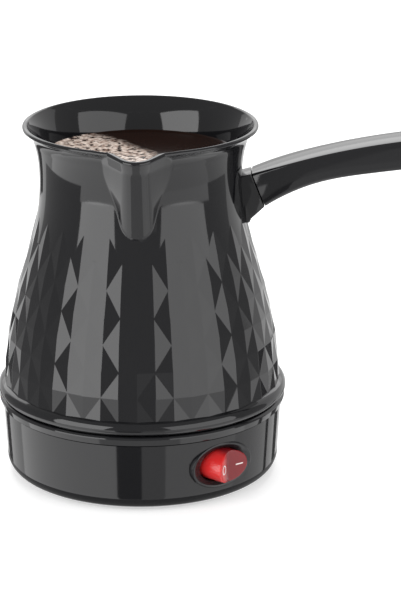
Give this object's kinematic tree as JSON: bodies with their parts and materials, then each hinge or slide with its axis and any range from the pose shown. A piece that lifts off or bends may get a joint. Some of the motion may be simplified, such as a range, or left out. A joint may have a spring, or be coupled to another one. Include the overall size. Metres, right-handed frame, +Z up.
{
  "type": "electric turkish coffee pot",
  "caption": "Long-handled electric pot for Turkish coffee: faceted black belly with a pouring spout over a round heated base with a red rocker switch and an appliance inlet.",
  "frame": {"origin": "on the pot's axis, in the plane of the feet's undersides", "axes": "+Z up along the pot's axis, +X along the handle, -Y towards the pouring spout, +Y towards the inlet"},
  "size_m": [0.2359, 0.1138, 0.1405],
  "materials": {
    "body_black": "polished black, cut-pyramid facets below the neck",
    "base_black": "smooth glossy black",
    "grip_black": "smooth glossy black",
    "fitting_black": "semi-gloss black",
    "rocker_red": "translucent red, white marks",
    "plunger_white": "plain moulded nylon",
    "phenolic": "dark brown thermoset",
    "ceramic": "unglazed white ceramic",
    "silicone": "pale grey silicone",
    "foot_rubber": "matt black",
    "stainless": "spun stainless sheet",
    "screw_steel": "zinc-plated",
    "cast_aluminium": "as cast",
    "element_sheath": "dull drawn tube",
    "fuse_case": "satin metal case",
    "contact_brass": "bare stamped brass",
    "lamp_glass": "clear neon bulb",
    "glass_braid": "white woven glass sleeve",
    "wire_brown": "brown silicone insulation",
    "wire_blue": "blue silicone insulation",
    "wire_green": "green and yellow silicone insulation",
    "wire_white": "white silicone insulation"
  },
  "bodies": {
    "pot": {"pot_body": "body_black", "plate_gasket": "silicone", "heating_plate": "stainless", "clamp_ring": "stainless", "clamp_screws": "screw_steel", "heat_spreader": "cast_aluminium", "heating_element": "element_sheath", "element_seals": "ceramic", "element_pins": "contact_brass", "thermostat_cap": "cast_aluminium", "thermostat_body": "phenolic", "thermostat_tabs": "contact_brass", "thermostat_bracket": "stainless", "bracket_screws": "screw_steel", "thermal_fuse": "fuse_case", "fuse_sleeve": "glass_braid", "fuse_clip": "stainless", "crimp_splices": "contact_brass", "base_shell": "base_black", "base_screws": "screw_steel", "rubber_feet": "foot_rubber", "inlet_housing": "fitting_black", "inlet_pins": "contact_brass", "switch_housing": "fitting_black", "switch_terminals": "contact_brass", "receptacles": "contact_brass", "wire_live": "wire_brown", "wire_switched": "wire_brown", "wire_neutral": "wire_blue", "wire_earth": "wire_green", "wire_to_fuse": "wire_white", "wire_from_fuse": "wire_white", "handle_grip": "grip_black", "grip_cover": "grip_black", "handle_screw": "screw_steel"},
    "rocker": {"switch_rocker": "rocker_red", "rocker_plunger": "plunger_white", "plunger_spring": "screw_steel", "neon_lamp": "lamp_glass"},
    "lever": {"contact_lever": "contact_brass"}
  },
  "joints": [
    {"name": "rocker_tilt", "type": "hinge", "parent": "pot", "child": "rocker", "pos_m": [0.03074, -0.04231, 0.0167], "axis": [0, 0, 1], "range_deg": [-32, 0]},
    {"name": "lever_tilt", "type": "hinge", "parent": "pot", "child": "lever", "pos_m": [0.0241, -0.03317, 0.0167], "axis": [0, 0, 1], "range_deg": [0, 16]}
  ],
  "couplings": [
    {"joint": "lever_tilt", "follows": "rocker_tilt", "ratio": -0.5}
  ]
}
